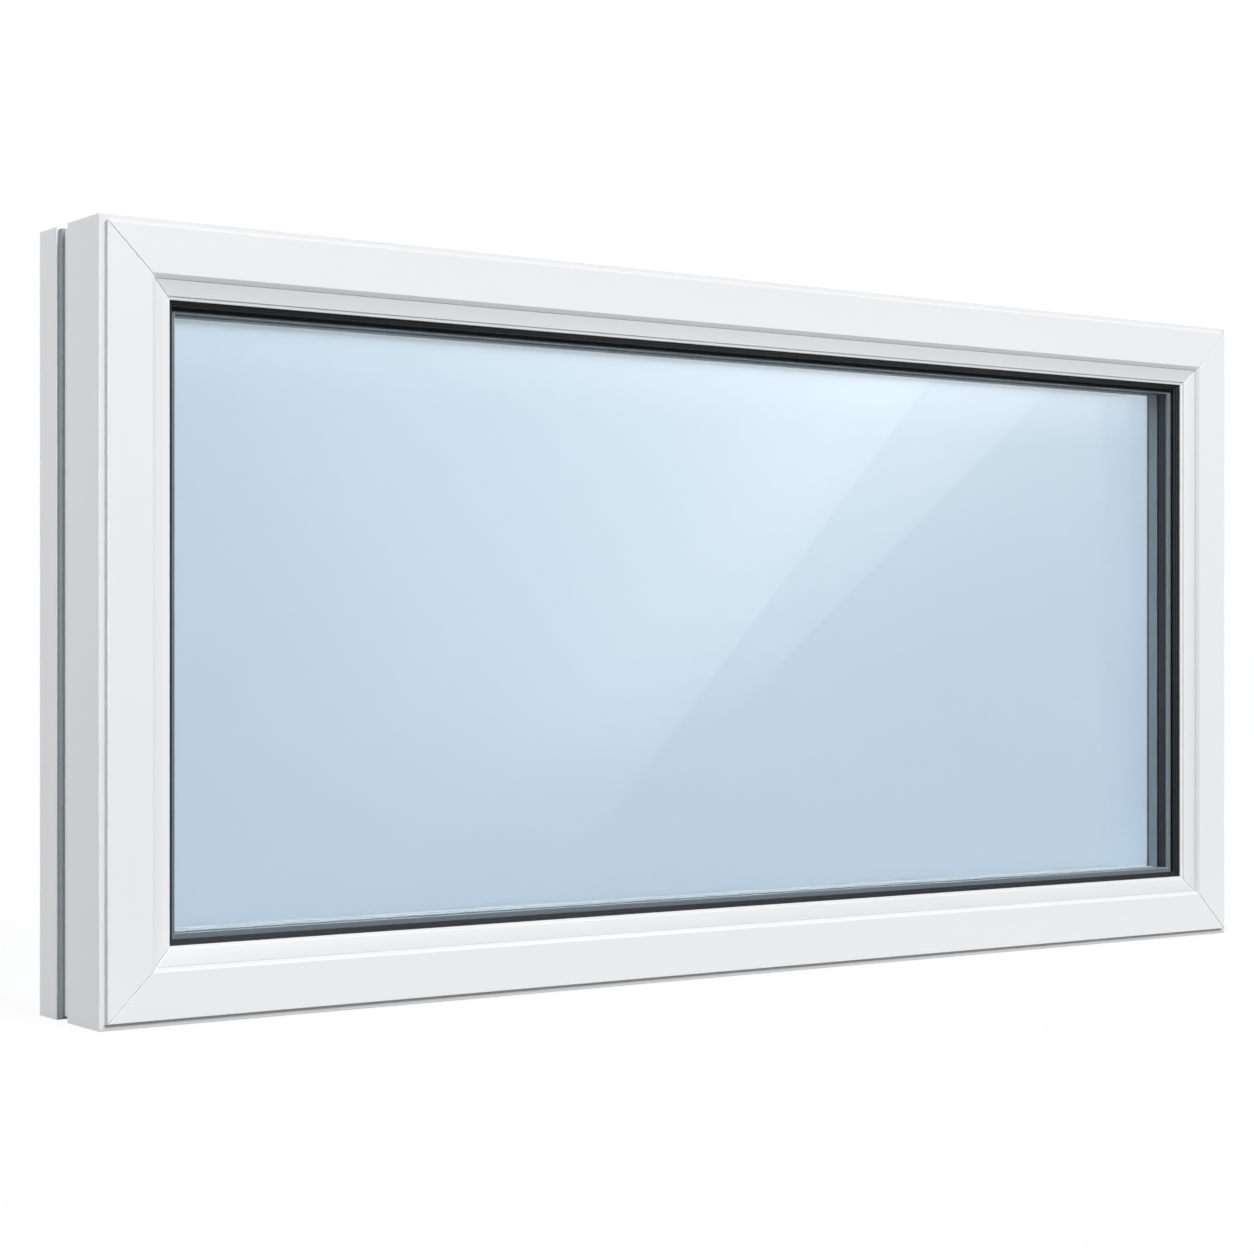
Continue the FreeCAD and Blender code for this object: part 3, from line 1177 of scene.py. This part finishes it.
@dataclass(frozen=True)
class PhotoCamera:
    """Camera at the photograph's viewing angle, level, with a small upward shift."""

    place: Triple = (-1.3981, -1.8575, 0.2762)
    yaw: float = 35.167
    focal_px: float = 2641.0
    horizon_px: float = 654.9
    image_px: float = 1254.0
    sensor: float = 36.0
    clip: Pair = (0.05, 100.0)

    def build(self) -> None:
        """Make the camera and set it as the scene's."""
        data = bpy.data.cameras.new("photo_camera")
        data.sensor_width = self.sensor
        data.lens = self.focal_px / self.image_px * self.sensor
        data.shift_y = (self.horizon_px - self.image_px / 2.0) / self.image_px
        data.clip_start, data.clip_end = self.clip
        camera = bpy.data.objects.new("photo_camera", data)
        camera.location = self.place
        camera.rotation_euler = (math.radians(90.0), 0.0, -math.radians(self.yaw))
        bpy.context.scene.collection.objects.link(camera)
        bpy.context.scene.camera = camera


def main() -> None:
    """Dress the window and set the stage."""
    logging.basicConfig(level=logging.INFO, format="%(name)s: %(message)s")
    bpy.context.scene.view_settings.view_transform = "Standard"
    sizes = WindowSizes.read()
    effects = SurfaceEffects(sizes)
    window = WindowDressing(frame["nodes"])
    nose = sizes.lines("bead_sill").inner
    on_frame, on_bead = Hollow().on_frame(nose), Hollow().on_bead(nose)
    window.dress(WhiteProfileFinish().make(effects, *on_frame), "frame_")
    # the sill frame's copy of the white has a still darker lip: painted shade under the sill's proud face
    sill_lip_shade_finish = WhiteProfileFinish("white_profile_sill_lip_shade", lip=(0.66, 0.668, 0.68))
    window.dress(sill_lip_shade_finish.make(effects, *on_frame), "frame_sill")
    # the beads' white is painted a little lighter than the frame's as painted light, with painted shade in
    # the hollow
    bead = WhiteProfileFinish(
        "white_bead", (0.868, 0.876, 0.890), (0.853, 0.861, 0.876), hollow=(0.785, 0.795, 0.812)
    )
    window.dress(bead.make(effects, *on_bead), "bead_")
    # the sill bead is a darker copy of the bead's white: painted shade, with painted shade in the hollow too
    sill_bead_shade_finish = WhiteProfileFinish(
        "white_bead_sill_shaded", (0.770, 0.778, 0.792), (0.755, 0.763, 0.778), hollow=(0.70, 0.71, 0.725)
    )
    window.dress(sill_bead_shade_finish.make(effects, *on_bead), "bead_sill")
    black = RubberFinish(
        "black_gasket", (0.015, 0.017, 0.020), (0.026, 0.030, 0.034), roughness=0.45, gloss=0.2
    )
    rubber = black.make(effects)
    window.dress(rubber, "gasket_")
    groove_rubber = RubberFinish("groove_seal", (0.28, 0.325, 0.365), (0.33, 0.375, 0.415)).make(effects)
    window.dress(groove_rubber, "groove_seal")
    SealSet(sizes, rubber, groove_rubber).build()
    clear = (0.955, 0.975, 0.985)
    window.dress(GlassFinish("outer_glass", clear, ior=1.66).make(effects), "pane_outer")
    window.dress(GlassFinish("middle_glass", clear, ior=1.30).make(effects), "pane_middle")
    coated = GlassFinish("coated_glass", (0.641, 0.775, 0.890), roughness=0.26, ior=1.35, border_width=0.0014)
    window.dress(coated.make(effects, sizes.sight_line), "pane_inner")
    window.let_light_through("pane_outer", "pane_middle")
    # two like bars: the front bar is painted darker with a painted-shade rear part, the rear bar lighter as
    # painted light
    front_bar = SpacerFinish("spacer_front", (0.23, 0.265, 0.30), (0.034, 0.041, 0.047), rear_share=0.75)
    window.dress(front_bar.make(effects, sizes.lines("spacer_front")), "spacer_front")
    rear_bar = SpacerFinish("spacer_rear", (0.32, 0.37, 0.41), (0.32, 0.37, 0.41), rear_share=0.1)
    window.dress(rear_bar.make(effects, sizes.lines("spacer_rear")), "spacer_rear")
    seal = RubberFinish("edge_seal", (0.02, 0.02, 0.022), (0.03, 0.03, 0.033))
    window.dress(seal.make(effects), "edge_seal")
    block = RubberFinish("glazing_block", (0.20, 0.22, 0.25), (0.24, 0.26, 0.29))
    window.dress(block.make(effects), "setting_block", "location_block")
    camera = PhotoCamera()
    camera.build()
    Stage(sizes, camera.place, sizes.lines("pane_outer").front - sizes.half_depth).build()


if __name__ == "__main__":
    main()
